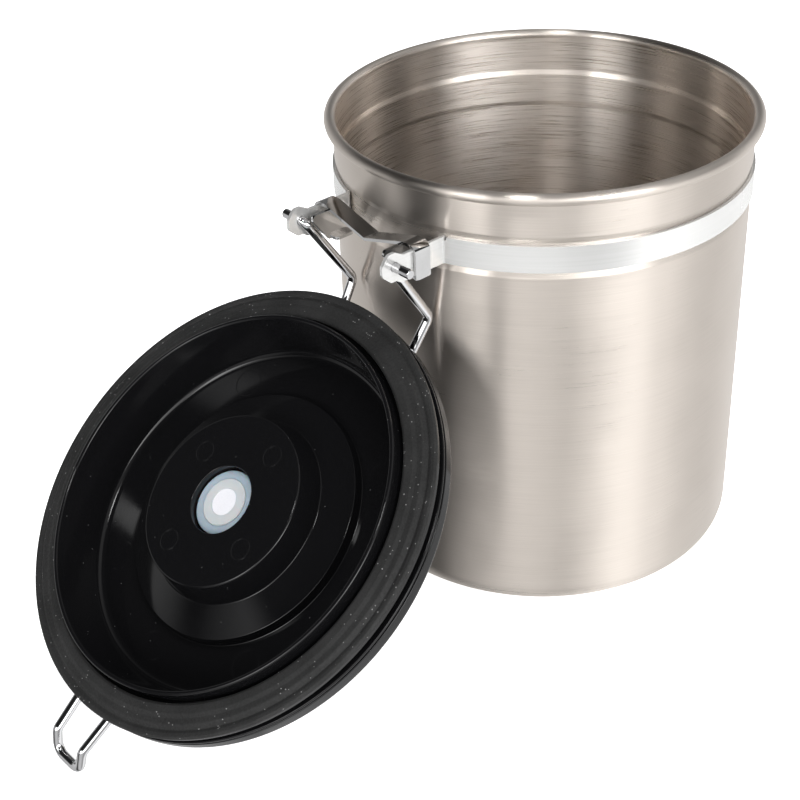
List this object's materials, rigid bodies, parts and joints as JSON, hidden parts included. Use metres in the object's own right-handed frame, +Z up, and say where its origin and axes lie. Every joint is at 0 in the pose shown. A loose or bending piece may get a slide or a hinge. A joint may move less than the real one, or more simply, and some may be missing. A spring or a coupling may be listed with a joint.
{
  "type": "food canister",
  "caption": "Round steel food canister with a rolled rim, a gasketed lid with a one-way vent valve on a wire bail hinge, and a front wire latch.",
  "frame": {"origin": "centre of the can's base, on the surface that it stands on", "axes": "+Z up along the can's axis, +Y towards the lid's hinge, -Y towards the latch"},
  "size_m": [0.1328, 0.2577, 0.139],
  "materials": {
    "steel": "circumferentially brushed stainless steel",
    "bright_steel": "polished, nickel-chrome plated",
    "lid_plastic": "gloss black moulded plastic",
    "gasket_rubber": "matt black rubber, fine texture",
    "screw_steel": "zinc plated",
    "silicone": "translucent bluish silicone",
    "valve_plastic": "milky translucent plastic",
    "filter": "white filter felt"
  },
  "bodies": {
    "canister": {"canister_body": "steel", "neck_band": "bright_steel", "hinge_bridge": "bright_steel", "latch_bracket": "bright_steel"},
    "lid": {"lid_bail": "bright_steel", "lid_plug": "lid_plastic", "lid_gasket": "gasket_rubber", "lid_cover": "lid_plastic", "cover_screws": "screw_steel", "vent_cap": "lid_plastic", "valve_grommet": "silicone", "valve_body": "valve_plastic", "valve_filter": "filter", "valve_cage": "valve_plastic"},
    "flap": {"valve_flap": "silicone"},
    "lever": {"latch_lever": "bright_steel"},
    "link": {"latch_link": "bright_steel"}
  },
  "joints": [
    {"name": "lid_hinge", "type": "hinge", "parent": "canister", "child": "lid", "pos_m": [0, 0.0763, 0.121], "axis": [1, 0, 0], "range_deg": [0, 218.1]},
    {"name": "flap_lift", "type": "slide", "parent": "lid", "child": "flap", "axis": [0, -0.617, -0.7869], "range_m": [0, 0.0008], "stiffness_N_per_m": 60, "springref_m": -0.0003},
    {"name": "latch_lever_turn", "type": "hinge", "parent": "canister", "child": "lever", "pos_m": [0, -0.068, 0.1195], "axis": [-1, 0, 0], "range_deg": [0, 108]},
    {"name": "latch_link_turn", "type": "hinge", "parent": "lever", "child": "link", "pos_m": [0, -0.0658, 0.1115], "axis": [1, 0, 0], "range_deg": [-86, 0]}
  ]
}
